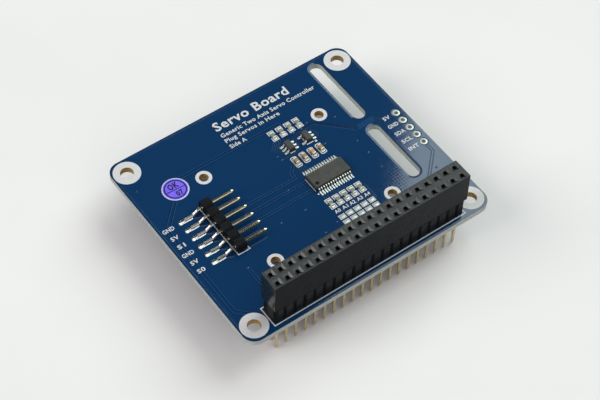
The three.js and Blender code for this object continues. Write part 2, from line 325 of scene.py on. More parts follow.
def place_piece(name, mesh, nodes=(), location=(0, 0, 0)):
    piece = bpy.data.objects.new(name, mesh)
    bpy.context.scene.collection.objects.link(piece)
    piece.location = Vector(location) * MM
    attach(piece, "root")
    if nodes:
        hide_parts(*nodes)
    return piece


def add_piece(name, body, materials, nodes=()):
    return place_piece(name, make_mesh(name, body, materials), nodes)


# ---- Materials ----

class Finish:
    """A Principled material and the nodes that vary it over the surface."""

    def __init__(self, name, metallic=0.0, specular=0.5):
        self.material = bpy.data.materials.new(name)
        self.material.use_nodes = True
        self.nodes = self.material.node_tree.nodes
        self.links = self.material.node_tree.links
        self.shader = self.nodes["Principled BSDF"]
        self.shader.inputs["Metallic"].default_value = metallic
        self.shader.inputs["Specular IOR Level"].default_value = specular
        self.place = self.nodes.new("ShaderNodeTexCoord").outputs["Object"]
        self.height = None

    def coat(self, weight, roughness):
        self.shader.inputs["Coat Weight"].default_value = weight
        self.shader.inputs["Coat Roughness"].default_value = roughness

    def stretched(self, stretch):
        mapping = self.nodes.new("ShaderNodeMapping")
        mapping.inputs["Scale"].default_value = stretch
        self.links.new(self.place, mapping.inputs["Vector"])
        return mapping.outputs["Vector"]

    def noise(self, per_mm, detail=3.0, stretch=(1, 1, 1)):
        node = self.nodes.new("ShaderNodeTexNoise")
        node.inputs["Scale"].default_value = per_mm * PER_MM
        node.inputs["Detail"].default_value = detail
        self.links.new(self.stretched(stretch), node.inputs["Vector"])
        return node.outputs["Fac"]

    def bands(self, axis, period):
        """Ripples across one axis, with a period in millimetres."""
        node = self.nodes.new("ShaderNodeTexWave")
        node.bands_direction = axis
        node.inputs["Scale"].default_value = 2 * math.pi / (WAVE_RATE * period * MM)
        node.inputs["Distortion"].default_value = 1.5
        node.inputs["Detail Scale"].default_value = 0.4
        self.links.new(self.place, node.inputs["Vector"])
        return node.outputs["Fac"]

    def blend(self, factor, tones, low=0.35, high=0.65):
        ramp = self.nodes.new("ShaderNodeValToRGB")
        ramp.color_ramp.elements[0].position = low
        ramp.color_ramp.elements[0].color = (*tones[0], 1)
        ramp.color_ramp.elements[1].position = high
        ramp.color_ramp.elements[1].color = (*tones[1], 1)
        self.links.new(factor, ramp.inputs["Fac"])
        self.links.new(ramp.outputs["Color"], self.shader.inputs["Base Color"])

    def rough(self, factor, low, high):
        spread = self.nodes.new("ShaderNodeMapRange")
        spread.inputs["From Min"].default_value = 0.3
        spread.inputs["From Max"].default_value = 0.7
        spread.inputs["To Min"].default_value = low
        spread.inputs["To Max"].default_value = high
        self.links.new(factor, spread.inputs["Value"])
        self.links.new(spread.outputs["Result"], self.shader.inputs["Roughness"])

    def bump(self, factor, depth, strength=1.0):
        """Relief of a depth in millimetres, on top of any earlier relief."""
        node = self.nodes.new("ShaderNodeBump")
        node.inputs["Strength"].default_value = strength
        node.inputs["Distance"].default_value = depth * MM
        self.links.new(factor, node.inputs["Height"])
        if self.height:
            self.links.new(self.height, node.inputs["Normal"])
        self.height = node.outputs["Normal"]
        self.links.new(self.height, self.shader.inputs["Normal"])


WAVE_RATE = 20.0                     # the wave texture's own radians in each unit of scale


def lacquer(name, tones, roughness, specular=0.5):
    """Solder mask: a glossy lacquer that shows the weave of the glass cloth under it."""
    finish = Finish(name, specular=specular)
    finish.blend(finish.bands("X", 0.66), tones, 0.1, 0.9)
    finish.rough(finish.noise(0.8), *roughness)
    finish.bump(finish.bands("X", 0.66), 0.0006)
    finish.bump(finish.bands("Y", 0.72), 0.0006)
    finish.bump(finish.noise(2.2, 5.0), 0.0016)
    return finish.material


def laminate(name, tones, roughness):
    """A cut face of the glass-fibre board, with its layers lying flat."""
    finish = Finish(name, specular=0.3)
    finish.blend(finish.noise(1.2, 5.0, (1, 1, 9)), tones)
    finish.rough(finish.noise(3.0, stretch=(1, 1, 6)), *roughness)
    finish.bump(finish.noise(4.0, 4.0, (1, 1, 5)), 0.02)
    return finish.material


def ink(name, tones, roughness=(0.4, 0.55)):
    """Printed ink, a little uneven in thickness."""
    finish = Finish(name, specular=0.4)
    finish.blend(finish.noise(2.5, 4.0), tones)
    finish.rough(finish.noise(4.0), *roughness)
    finish.bump(finish.noise(6.0, 4.0), 0.003)
    return finish.material


def moulded(name, tones, roughness, grain=6.0, specular=0.5):
    """Moulded plastic with a fine grain and slightly uneven gloss."""
    finish = Finish(name, specular=specular)
    finish.blend(finish.noise(0.5, 4.0), tones)
    finish.rough(finish.noise(0.9, 4.0), *roughness)
    finish.bump(finish.noise(grain, 3.0), 0.004)
    return finish.material


def plated(name, tones, roughness, stretch=(1, 1, 1), depth=0.003):
    """Metal plating with faint drawing marks along the wire."""
    finish = Finish(name, metallic=1.0)
    finish.blend(finish.noise(1.5, 4.0, stretch), tones)
    finish.rough(finish.noise(3.0, 4.0, stretch), *roughness)
    finish.bump(finish.noise(5.0, 3.0, stretch), depth)
    return finish.material


def ceramic(name, tones, roughness=(0.35, 0.5)):
    finish = Finish(name)
    finish.blend(finish.noise(3.0, 5.0), tones)
    finish.rough(finish.noise(5.0), *roughness)
    finish.bump(finish.noise(12.0), 0.004)
    return finish.material


def pale_floor():
    finish = Finish("pale_floor", specular=0.2)
    finish.blend(finish.noise(0.02), ((0.69, 0.660, 0.657), (0.71, 0.680, 0.677)))
    finish.rough(finish.noise(0.05), 0.7, 0.8)
    return finish.material


ALONG_X = (0.15, 1, 1)
ALONG_Z = (1, 1, 0.15)

MASK = lacquer("mask_over_copper", ((0.0012, 0.0250, 0.081), (0.0018, 0.0278, 0.090)), (0.03, 0.055))
BARE_MASK = lacquer("mask_over_laminate", ((0.0008, 0.016, 0.058), (0.0014, 0.020, 0.070)), (0.1, 0.16))
# Track edges: a paler lacquer as painted highlight on the lit slope, and a darker one, partly the lacquer over the
# bare gap and partly painted shade
PAINTED_HIGHLIGHT_MASK = lacquer("mask_painted_highlight_at_track_edges", ((0.0035, 0.046, 0.135), (0.0045, 0.054, 0.152)), (0.35, 0.5), 0.22)
PAINTED_SHADE_MASK = lacquer("mask_painted_shade_beside_tracks", ((0.0005, 0.010, 0.038), (0.0008, 0.013, 0.047)), (0.1, 0.16), 0.3)
BOARD_EDGE = laminate("cut_board_edge", ((0.30, 0.32, 0.30), (0.47, 0.485, 0.45)), (0.5, 0.7))
DRILLED = laminate("drilled_wall", ((0.22, 0.12, 0.025), (0.42, 0.26, 0.07)), (0.35, 0.6))
LEGEND = ink("legend_white_ink", ((0.495, 0.482, 0.485), (0.565, 0.547, 0.545)))
SOCKET_TOP = moulded("socket_matt_top", ((0.009, 0.0098, 0.011), (0.0125, 0.0135, 0.0155)), (0.42, 0.52))
SOCKET_FACET = moulded("socket_funnel", ((0.010, 0.011, 0.012), (0.014, 0.015, 0.016)), (0.2, 0.28), specular=0.75)
# The socket's sides: a darker, almost unreflecting copy of the same plastic, as painted shade
SOCKET_SIDE_SHADE = moulded("socket_side_painted_shade", ((0.007, 0.0075, 0.009), (0.010, 0.0105, 0.0125)), (0.2, 0.3), specular=0.03)
SOCKET_END = moulded("socket_end", ((0.009, 0.011, 0.0115), (0.012, 0.014, 0.0145)), (0.12, 0.2), specular=0.45)
HEADER_BLACK = moulded("header_black", ((0.004, 0.005, 0.0065), (0.007, 0.008, 0.010)), (0.3, 0.4), specular=0.09)
CHIP_BLACK = moulded("chip_epoxy", ((0.024, 0.023, 0.019), (0.036, 0.034, 0.028)), (0.5, 0.65), 9.0)
CHIP_MARK = moulded("chip_marking", ((0.040, 0.038, 0.028), (0.054, 0.051, 0.038)), (0.5, 0.65), 9.0)
# The pin mark's bowl: a darker, barely reflecting copy of the epoxy, as painted shade
CHIP_PIT_SHADE = moulded("chip_pin_mark_painted_shade", ((0.004, 0.004, 0.004), (0.007, 0.007, 0.007)), (0.5, 0.6), 9.0, 0.1)
PIN_GOLD = plated("servo_pin_gold", ((0.58, 0.51, 0.33), (0.70, 0.62, 0.42)), (0.12, 0.17), ALONG_X, 0.0003)
TAIL_GOLD = plated("contact_gold", ((0.60, 0.49, 0.29), (0.72, 0.61, 0.38)), (0.2, 0.32), ALONG_Z)
SOLDER = plated("bright_solder", ((0.70, 0.70, 0.68), (0.86, 0.86, 0.84)), (0.12, 0.24), depth=0.012)
WET_SOLDER = plated("wet_solder", ((0.42, 0.42, 0.40), (0.58, 0.58, 0.56)), (0.1, 0.18), depth=0.065)
FOOT_TIN = plated("tinned_foot", ((0.52, 0.50, 0.48), (0.64, 0.62, 0.60)), (0.2, 0.3), ALONG_X, 0.006)
LEAD_TIN = plated("tinned_lead", ((0.60, 0.60, 0.56), (0.74, 0.74, 0.70)), (0.42, 0.56), depth=0.005)
PAD_TIN = plated("tinned_pad", ((0.50, 0.51, 0.47), (0.64, 0.65, 0.60)), (0.48, 0.62), depth=0.006)
RESISTOR_TOP = ceramic("resistor_glaze", ((0.15, 0.15, 0.125), (0.20, 0.20, 0.17)))
RESISTOR_BASE = ceramic("resistor_alumina", ((0.42, 0.42, 0.40), (0.52, 0.52, 0.50)))
CAPACITOR_TAN = ceramic("capacitor_tan", ((0.22, 0.14, 0.045), (0.30, 0.19, 0.062)))
CAPACITOR_ORANGE = ceramic("capacitor_orange", ((0.40, 0.19, 0.05), (0.50, 0.25, 0.07)))
STICKER_PURPLE = ink("sticker_purple", ((0.125, 0.075, 0.66), (0.19, 0.12, 0.80)), (0.3, 0.4))
STICKER_WHITE = ink("sticker_rim_white", ((0.42, 0.40, 0.62), (0.54, 0.52, 0.70)), (0.3, 0.4))
STICKER_INK = ink("sticker_dark_ink", ((0.006, 0.003, 0.035), (0.010, 0.005, 0.05)), (0.3, 0.4))


# ---- Circuit board ----

def mount_holes(radius):
    return [circle(sx * MOUNT_HOLE["x"], sy * MOUNT_HOLE["y"], radius) for sx, sy in ALL_CORNERS]


def small_holes(radius):
    return [circle(sx * SMALL_HOLE["x"], sy * SMALL_HOLE["y"], radius, 36) for sx, sy in ALL_CORNERS]


def slots(growth=0.0):
    return [grown(slot_outline(low, high), growth) for low, high in SLOT["spans"]]


def sensor_places():
    first = SENSOR_PAD["y"] - (SENSOR_PAD["count"] - 1) / 2 * PITCH
    return [(SENSOR_PAD["x"], first + i * PITCH) for i in range(SENSOR_PAD["count"])]


def contact_places():
    return [middle(node).xy for node in CONTACTS]


def board_outline():
    return rounded_box(BOARD_LOW.x, BOARD_HIGH.x, BOARD_LOW.y, BOARD_HIGH.y, BOARD_CORNER, 12)


RIM = {"width": 0.18, "drop": 0.03}   # the lacquer's slope at a cut edge


def add_substrate():
    """The laminate and its lacquer, with the drilled holes and milled slots."""
    body = Body()
    bore = SENSOR_PAD["bore"] + 0.06
    pads = [circle(x, y, bore, 24) for x, y in sensor_places()]
    pins = [circle(x, y, 0.5, 12) for x, y in contact_places()]
    holes = mount_holes(MOUNT_HOLE["radius"]) + small_holes(SMALL_HOLE["radius"]) + slots() + pads + pins
    bores = [2] * 8 + [1] * len(SLOT["spans"]) + [2] * (len(pads) + len(pins))
    low = BOARD_LOW.z + COPPER
    high = TOP - COPPER
    levels = [(low, -RIM["width"]), (low + RIM["drop"], 0), (high - RIM["drop"], 0), (high, -RIM["width"])]
    body.plate(board_outline(), holes, levels, cap=0, wall=1, bores=bores)
    body.numbers = [0 if body.lacquered(face, low, high) else number
                    for face, number in zip(body.faces, body.numbers)]
    add_piece("board_substrate", body, [BARE_MASK, BOARD_EDGE, DRILLED], ["circuit_board"])


POUR_MARGIN = 0.62                   # from the board's edge to the copper
RING_TRACK = {"inset": 0.36, "width": 0.18, "slope": 0.14}
POUR_SLOPE = 0.22                    # width of the lacquer's slope down from the copper's edge


def add_pour(name, base, crest, pin_clearance):
    """One side's copper under its lacquer, a little proud of the bare laminate."""
    body = Body()
    holes = mount_holes(MOUNT_HOLE["radius"] + 0.45) + small_holes(SMALL_HOLE["radius"] + 0.35)
    holes += slots(0.5)
    holes += [circle(x, y, SENSOR_PAD["radius"] + 0.25, 24) for x, y in sensor_places()]
    holes += [circle(x, y, pin_clearance, 16) for x, y in contact_places()]
    outer = grown(board_outline(), -POUR_MARGIN)
    body.plate(outer, holes, [(base, POUR_SLOPE), (crest, 0)])
    ring = grown(board_outline(), -RING_TRACK["inset"])
    inner = grown(ring, -RING_TRACK["width"])
    body.plate(ring, [inner], [(base, RING_TRACK["slope"]), (crest, 0)])
    add_piece(name, body, [MASK])


def painted_highlight_line(body, points, width=0.16):
    """A fine pale line of painted highlight where the lacquer follows the edge of the copper."""
    body.ribbon(points, width, TOP - 0.01, TOP + 0.009, crest=0.04)


def painted_shade_line(body, points, width=0.18):
    """A fine dark line beside a track: partly the lacquer over the bare laminate, partly painted shade."""
    body.ribbon(points, width, TOP - 0.01, TOP + 0.004, number=1)


def track(body, points, gap=0.6, dark=False):
    """The two edges of a track: each a pale painted-highlight line with a dark painted-shade one to its right, or a
    dark one only.
    """
    for side in (-gap / 2, gap / 2):
        edge = beside(points, side)
        if dark:
            painted_shade_line(body, edge, 0.26)
        else:
            painted_highlight_line(body, edge)
            painted_shade_line(body, beside(edge, -0.166))


def via(body, x, y):
    body.turned(x, y, [(0.3, TOP - 0.01), (0.26, TOP + 0.035), (0.12, TOP + 0.07), (0.02, TOP + 0.075)], 16, 2)


VIAS = [(18.4, 2.7), (18.4, -1.4), (18.4, -6.3), (18.4, 11.2), (-2.6, 0.2), (-2.6, -6.3), (-2.6, -13.8),
        (1.1, -12.9), (12.1, 13.5), (7.9, 12.7), (10.0, 12.7), (11.9, 6.2), (28.3, -13.6), (-30.05, 19.0),
        (-21.68, -11.75), (1.0, 9.2), (1.3, 7.9), (-9.0, -6.2)]


def add_servo_tracks(body):
    """Tracks from the servo header to the driver chip and along the board's left side."""
    chip_left = corners("driver_chip")[0].x
    pin_end = corners(SERVO_PINS[0])[1].x - 4
    track(body, [(pin_end, 1.93), (0.75, 1.93), (0.75, 3.5), (2.4, 5.15)])
    track(body, [(pin_end, -0.22), (chip_left, -0.22)])
    track(body, [(pin_end, -2.85), (chip_left, -2.85)])
    painted_highlight_line(body, [(-18.3, -7.68), (-13.7, -7.68)])
    track(body, [(-24.2, 12.2), (-29.3, 7.1), (-30.4, 6.0), (-30.4, -19.3), (-27.6, -22.1)], gap=0.85)
    track(body, [(-20.2, 16.65), (6.3, 16.65), (7.4, 15.55)], gap=0.75)
    track(body, [(-21.68, -11.9), (-21.68, -20.5)], gap=0.62)


def add_bus_tracks(body):
    """The sensor port's tracks: over the small chips, between the slots and down to the pads."""
    for lane in range(5):
        start = 2.6 + 0.5 * lane
        reach = 0.8 + 0.38 * lane
        fan = [(start, 12.95), (reach, 12.95 - (start - reach)), (reach, 10.85 - 0.38 * lane)]
        painted_highlight_line(body, fan)
        painted_shade_line(body, beside(fan, 0.18), 0.16)
    track(body, [(1.25, 7.75), (4.7, 7.75), (6.3, 8.3), (6.95, 9.2), (6.95, 11.2)], gap=0.34)
    painted_highlight_line(body, [(8.0, 12.12), (13.2, 12.12), (20.1, 5.2)])
    track(body, [(5.2, 12.42), (13.4, 12.42), (20.5, 5.7)], gap=0.44, dark=True)
    for lane in range(5):
        painted_highlight_line(body, [(20.7 + 0.12 * lane, 5.1 + 0.3 * lane), (25.2 + 0.12 * lane, 5.1 + 0.3 * lane)])
    track(body, [(25.7, 5.4), (27.1, 4.0)], gap=0.34, dark=True)
    for lane in range(5):
        painted_highlight_line(body, [(26.6 + 0.4 * lane, 3.3), (26.6 + 0.4 * lane, -1.4)], 0.1)
    track(body, [(SENSOR_PAD["x"], -7.1), (SENSOR_PAD["x"], -9.45), (25.0, -15.0), (25.0, -21.0)], 0.6, dark=True)


def add_chip_tracks(body):
    """Short tracks round the chips, the capacitors and the address resistors."""
    driver = middle("driver_chip")
    track(body, [(11.9, 8.7), (12.3, 9.3), (12.3, 10.4), (11.8, 11.1)], gap=0.26)
    track(body, [(11.45, 6.2), (11.9, 6.2)], gap=0.3)
    for x in (2.75, 3.45, 4.15):
        track(body, [(x, 3.9), (x + 0.35, 2.3)], gap=0.3)
    for x in (2.85, 3.75):
        track(body, [(x, driver.y - 3.9), (x, -6.7)], gap=0.42)
    track(body, [(4.6, -5.5), (5.3, -6.15), (8.9, -6.15)], gap=0.34)
    track(body, [(12.32, -8.0), (12.32, -12.2), (11.9, -12.75)], gap=0.3)
    for place in address_places()[:-1]:
        track(body, [(place.x + 1.0, -9.4), (place.x + 1.0, -14.6)], gap=0.3)


def add_tracks():
    body = Body()
    add_servo_tracks(body)
    add_bus_tracks(body)
    add_chip_tracks(body)
    for x, y in VIAS:
        via(body, x, y)
    # pale lines of painted highlight and dark lines of painted shade along the tracks
    add_piece("board_tracks", body, [PAINTED_HIGHLIGHT_MASK, PAINTED_SHADE_MASK, MASK])


# ---- Printed legend ----

INK_LOW = TOP - COPPER
INK_HIGH = TOP + INK


def legend_line(body, points, width=LINE):
    body.ribbon(points, width, INK_LOW, INK_HIGH)


def legend_ring(body, outer, hole):
    body.plate(outer, [hole], [(INK_LOW, 0), (INK_HIGH, 0)])


def legend_frame(body, x0, x1, y0, y1, width=LINE, chamfer=0.0):
    """A closed outline drawn in lines; its corners may be cut off."""
    c = chamfer
    outline = [(x0 + c, y0), (x1 - c, y0), (x1, y0 + c), (x1, y1 - c),
               (x1 - c, y1), (x0 + c, y1), (x0, y1 - c), (x0, y0 + c)] if c else box_outline(x0, x1, y0, y1)
    legend_ring(body, outline, grown(outline, -width))


def legend_bracket(body, x, half, inner, outer, width=LINE):
    """Three sides of a frame: open towards inner, closed at outer."""
    legend_line(body, [(x - half, inner), (x - half, outer), (x + half, outer), (x + half, inner)], width)


def row_places(node, count):
    """Middle of each part in a row, from the CAD row's ends."""
    low, high = corners(node)
    centre = (low + high) / 2
    first = low.x + CHIP_PART["half_width"]
    last = high.x - CHIP_PART["half_width"]
    return [Vector((first + (last - first) * i / (count - 1), centre.y)) for i in range(count)]


CHIP_PART = {"half_width": 0.43, "half_length": 0.8, "cap": 0.32}


def resistor_places():
    return row_places("pullup_resistor_row", 4)


def capacitor_places():
    return row_places("capacitor_row", 4)


def address_places():
    return row_places("address_resistor_row", 5)


JUMPER_ROWS = [(-13.1, -11.85), (-14.75, -13.5)]


def add_legend_rings():
    body = Body()
    for sx, sy in ALL_CORNERS:
        for hole, sides in ((MOUNT_HOLE, 48), (SMALL_HOLE, 36)):
            x, y = sx * hole["x"], sy * hole["y"]
            legend_ring(body, circle(x, y, hole["ring"], sides), circle(x, y, hole["radius"], sides))
    add_piece("legend_hole_rings", body, [LEGEND])


def add_legend_outlines():
    body = Body()
    low, high = corners("socket_housing")
    legend_frame(body, low.x - 0.13, high.x + 0.13, low.y - 0.2, high.y + 0.2, 0.25)
    low, high = corners("servo_header_housing")
    left, right = low.x - 0.05, high.x + 0.5
    legend_line(body, [(-20.5, high.y - 0.05), (left, high.y - 0.05), (left, low.y - 0.15),
                       (right, low.y - 0.15), (right, low.y + 0.6)], 0.25)
    for place in resistor_places() + address_places():
        for side in (-1, 1):
            legend_bracket(body, place.x, 0.7, place.y + side * 0.28, place.y + side * 1.43)
    for place in capacitor_places():
        legend_frame(body, place.x - 0.8, place.x + 0.8, place.y - 1.6, place.y + 1.6, chamfer=0.3)
    for place in address_places():
        for low_y, high_y in JUMPER_ROWS:
            legend_frame(body, place.x - 0.8, place.x + 0.8, low_y, high_y, 0.16)
    driver = middle("driver_chip")
    legend_line(body, [(driver.x - 4.93, driver.y - 2.1), (driver.x - 4.93, driver.y + 1.95)], 0.16)
    body.turned(driver.x - 4.88, driver.y - 3.05, [(0.21, INK_LOW), (0.21, INK_HIGH)], 24)
    shifter = middle("level_shifter")
    legend_line(body, [(shifter.x - 0.75, shifter.y - 1.55), (shifter.x + 0.55, shifter.y - 1.55)], 0.22)
    regulator = middle("voltage_regulator")
    legend_line(body, [(regulator.x - 1.1, regulator.y - 1.6), (regulator.x + 0.7, regulator.y - 1.6)], 0.26)
    legend_line(body, [(regulator.x - 0.93, regulator.y - 0.35), (regulator.x - 0.93, regulator.y + 0.5)], 0.2)
    body.turned(regulator.x + 1.25, regulator.y - 1.85, [(0.3, INK_LOW), (0.3, INK_HIGH)], 24)
    add_piece("legend_outlines", body, [LEGEND])


TITLE_LEFT = -6.1
TITLE_LINES = [                      # words, base line, height of capitals, width, weight
    ("Servo Board", 22.8, 2.45, 20.2, 0.022),
    ("Generic Two Axis Servo Controller", 20.6, 1.1, 25.8, 0.02),
    ("Plug Servos in Here", 18.85, 1.1, 14.7, 0.018),
    ("Side A", 16.95, 1.1, 4.3, 0.02),
]


def add_legend_lettering():
    title = Body()
    for words, base, height, width, weight in TITLE_LINES:
        title.letters(words, TITLE_LEFT, base, height, INK_LOW, INK_HIGH, width, weight)
    add_piece("legend_title_block", title, [LEGEND])
    labels = Body()

    def label(text, centre_x, centre_y, height, letter):
        width = letter * len(text)
        labels.letters(text, centre_x - width / 2, centre_y - height / 2, height, INK_LOW, INK_HIGH, width, 0.025)

    for node, text in zip(SERVO_PINS, ("GND", "5V", "S1", "GND", "5V", "S0")):
        label(text, -30.15, middle(node).y - 0.08, 1.05, 0.96)
    for (x, y), text in zip(sensor_places(), ("INT", "SCL", "SDA", "GND", "5V")):
        label(text, x - 2.8, y, 1.0, 0.9)
    for i, place in enumerate(address_places()):
        label(f"A{i}", place.x + 0.05, -10.65, 0.92, 0.74)
    add_piece("legend_pin_labels", labels, [LEGEND])


# ---- Pads and solder ----

def add_sensor_pads():
    """Plated holes: a pad on both faces, joined by a barrel through the board."""
    body = Body()
    bore = SENSOR_PAD["bore"]
    barrel = bore + 0.06
    radius = SENSOR_PAD["radius"]
    low = BOARD_LOW.z
    profile = [(bore, low - 0.03), (radius - 0.05, low - 0.03), (radius, low), (radius, low + COPPER),
               (barrel, low + COPPER), (barrel, TOP - COPPER), (radius, TOP - COPPER), (radius, TOP + 0.01),
               (radius - 0.08, TOP + TIN), (bore + 0.05, TOP + TIN), (bore, TOP + 0.01)]
    for x, y in sensor_places():
        body.eyelet(x, y, profile)
    add_piece("sensor_pads", body, [PAD_TIN])


def pad_dome(u, v):
    return 0.05 + 0.11 * (1 - u ** 4) * (1 - v ** 4)


def add_jumper_pads():
    body = Body()
    for place in address_places():
        for low_y, high_y in JUMPER_ROWS:
            body.mound(place.x - 0.58, place.x + 0.58, low_y + 0.2, high_y - 0.2, INK_LOW, pad_dome)
    add_piece("address_jumper_pads", body, [PAD_TIN])


def add_tail_joints():
    """The soldered joints of the socket's tails, on the board's underside."""
    body = Body()
    z = BOARD_LOW.z
    for x, y in contact_places():
        body.turned(x, y, [(0.88, z + COPPER), (0.88, z - 0.03), (0.72, z - 0.12), (0.55, z - 0.3),
                           (0.44, z - 0.6), (0.37, z - 0.95), (0.3, z - 1.05)], 20)
    add_piece("tail_solder_joints", body, [SOLDER])


SERVO_PAD = {"outer": 1.55, "inner": 2.0, "half": 0.58}


def servo_fillet(u, v):
    """Solder round a servo pin's foot: u runs from the pad's outer end to its inner end."""
    across = abs(v)
    side = (1 - across) ** 1.6
    wire_end = 1 / (1 + math.exp(14 * (u + 0.18)))
    climb = 0.46 - 0.30 * wire_end
    rim = 0.11 * math.exp(-((u + 0.88) / 0.09) ** 2)
    fade = 1 - max(0.0, u - 0.8) ** 1.5 * 3
    return 0.05 + climb * side * max(fade, 0.1) + rim * (1 - across ** 4)


def add_servo_joints():
    body = Body()
    for node in SERVO_PINS:
        low, high = corners(node)
        y = middle(node).y
        body.mound(low.x - SERVO_PAD["outer"], low.x + SERVO_PAD["inner"], y - SERVO_PAD["half"],
                   y + SERVO_PAD["half"], INK_LOW, servo_fillet, (30, 14))
    add_piece("servo_pin_joints", body, [WET_SOLDER])


# ---- Stacking socket ----

CELL = {"mouth": 0.93, "throat": 0.45, "funnel": 0.3, "roof": 1.3, "chamber": 0.78}


def add_socket_housing():
    """The moulded block: a funnel over a square throat and a spring chamber at every contact."""
    body = Body()
    low, high = corners("socket_housing")
    block = rounded_box(low.x, high.x, low.y, high.y, 0.12, 3)
    soft = 0.09
    sides = [(low.z, -soft), (low.z + soft, 0), (high.z - soft, 0), (high.z, -soft)]
    rings = [level_ring(grown(block, growth), z) for z, growth in sides]
    body.loft(rings[:3], closed=False)
    # faces other than the ends take the painted-shade copy of the plastic
    body.numbers = [3 * int(body.at_end(face, low.x, high.x)) for face in body.faces]
    body.loft(rings[2:], 1, closed=False)
    roof = high.z - CELL["roof"]
    steps = [(CELL["mouth"], high.z), (CELL["throat"], high.z - CELL["funnel"]), (CELL["throat"], roof),
             (CELL["chamber"], roof), (CELL["chamber"], low.z)]
    mouths = []
    feet = []
    for x, y in contact_places():
        rings = [box_outline(x - half, x + half, y - half, y + half) for half, z in steps]
        levels = [level_ring(ring, z) for ring, (half, z) in zip(rings, steps)]
        body.loft(levels[:2], 2, closed=False)
        body.loft(levels[1:], closed=False)
        mouths.append(rings[0])
        feet.append(rings[-1])
    body.cap([grown(block, -soft), *mouths], high.z, 1)
    body.cap([grown(block, -soft), *feet], low.z)
    add_piece("socket_block", body, [SOCKET_SIDE_SHADE, SOCKET_TOP, SOCKET_FACET, SOCKET_END],
              ["socket_housing"])


STRIP = {"notch": 0.45, "corner": 0.8, "hole": 0.36}


def strip_side(low, high):
    """One long side of a spacer strip, with a V at every boundary between two pins."""
    columns = round((high.x - low.x) / PITCH)
    points = [(low.x, low.y + STRIP["corner"]), (low.x + STRIP["corner"], low.y)]
    for i in range(1, columns):
        x = low.x + i * PITCH
        points += [(x - STRIP["notch"], low.y), (x, low.y + STRIP["notch"]), (x + STRIP["notch"], low.y)]
    return points + [(high.x - STRIP["corner"], low.y), (high.x, low.y + STRIP["corner"])]


def add_spacer_strip(node):
    body = Body()
    low, high = corners(node)
    centre = (low + high) / 2
    near = strip_side(low, high)
    far = [(2 * centre.x - x, 2 * centre.y - y) for x, y in near]
    half = STRIP["hole"]
    holes = [box_outline(x - half, x + half, y - half, y + half) for x, y in contact_places()]
    soft = 0.06
    levels = [(low.z, -soft), (low.z + soft, 0), (high.z - soft, 0), (high.z, -soft)]
    body.plate(near + far, holes, levels)
    # the strips take the socket's painted-shade plastic
    add_piece(node.replace("spacer_strip", "strip") + "_moulding", body, [SOCKET_SIDE_SHADE], [node])


def wire_ring(centre, across, half, chamfer=0.11):
    """The section of a square wire: eight points round a centre, in Y and along across."""
    c = half - min(chamfer, half / 2)
    section = [(half, c), (c, half), (-c, half), (-half, c), (-half, -c), (-c, -half), (c, -half), (half, -c)]
    return [(centre[0] + across[0] * s, t + centre[1], centre[2] + across[1] * s) for s, t in section]


def contact_body():
    """One contact on its own axis: a long square tail under a two-tined spring."""
    low, high = corners(CONTACTS[0])
    half = 0.32
    housing_low = corners("socket_housing")[0].z
    body = Body()
    upright = (1, 0)
    stations = [(low.z, 0.15), (low.z + 0.12, 0.17), (low.z + 0.75, half), (housing_low + 0.5, half)]
    body.loft([wire_ring((0, 0, z), upright, size) for z, size in stations])
    spring = [(0.32, housing_low + 0.4), (0.68, housing_low + 0.7), (0.68, housing_low + 1.5),
              (0.5, high.z - 0.7), (0.6, high.z), (0.32, high.z), (0.22, high.z - 0.7),
              (0.4, housing_low + 1.5), (0.1, housing_low + 1.2), (0.1, housing_low + 0.4)]
    for side in (-1, 1):
        tine = [[(side * x, y, z) for x, z in spring] for y in (-half, half)]
        body.loft(tine)
    return body


def add_contacts():
    mesh = make_mesh("contact_shape", contact_body(), [TAIL_GOLD])
    for node in CONTACTS:
        place = middle(node)
        name = node.replace("contact", "socket_contact")
        place_piece(name, mesh, [node], (place.x, place.y, 0))


# ---- Servo header ----

SERVO_BEND = {"knee": 0.95, "foot": 2.4, "radius": 0.3}
SEGMENT_NOTCH = 0.38


def rounded_path(points, radius, steps=5):
    """An open line in X and Z with its inner corners rounded."""
    result = [Vector(points[0])]
    for before, here, after in zip(points, points[1:], points[2:]):
        here = Vector(here)
        back = (Vector(before) - here).normalized()
        forward = (Vector(after) - here).normalized()
        for i in range(steps + 1):
            t = i / steps
            a = here + back * radius * (1 - t)
            b = here + forward * radius * t
            result.append(a.lerp(b, t))
    return result + [Vector(points[-1])]


def wire_rings(path, half):
    """Square sections along a path in X and Z."""
    last = len(path) - 1
    rings = []
    for i, here in enumerate(path):
        along = (path[min(i + 1, last)] - path[max(i - 1, 0)]).normalized()
        rings.append(wire_ring((here.x, 0, here.y), (-along.y, along.x), half))
    return rings


SERVO_TIP = [(0.55, 0.32), (0.42, 0.32), (0.1, 0.19), (0.0, 0.17)]      # distance from the end, half width
COLLAR = 0.4


def servo_wire_body():
    """A right-angle pin about the X axis: tinned foot and slope, gold through the block to its tip."""
    low, high = corners(SERVO_PINS[0])
    face = corners("servo_header_housing")[0].x
    half = (high.y - low.y) / 2
    upper = high.z - half
    knee = face - SERVO_BEND["knee"]
    foot = face - SERVO_BEND["foot"]
    line = [(low.x, low.z + half), (foot, low.z + half), (knee, upper), (high.x, upper)]
    rings = wire_rings(rounded_path(line, SERVO_BEND["radius"]), half)
    rings[-1:] = [wire_ring((high.x - back, 0, upper), (0, 1), size) for back, size in SERVO_TIP]
    body = Body()
    body.loft(rings)
    body.numbers = [int(all(body.vertices[i].x < knee + 0.3 for i in face)) for face in body.faces]
    body.block(face - 0.07, face + 0.05, -COLLAR, COLLAR, upper - COLLAR, upper + COLLAR, 0.03)
    return body


def add_servo_pins():
    mesh = make_mesh("servo_wire", servo_wire_body(), [PIN_GOLD, FOOT_TIN])
    for node in SERVO_PINS:
        name = node.replace("servo_pin", "servo_wire")
        place_piece(name, mesh, [node], (0, middle(node).y, 0))


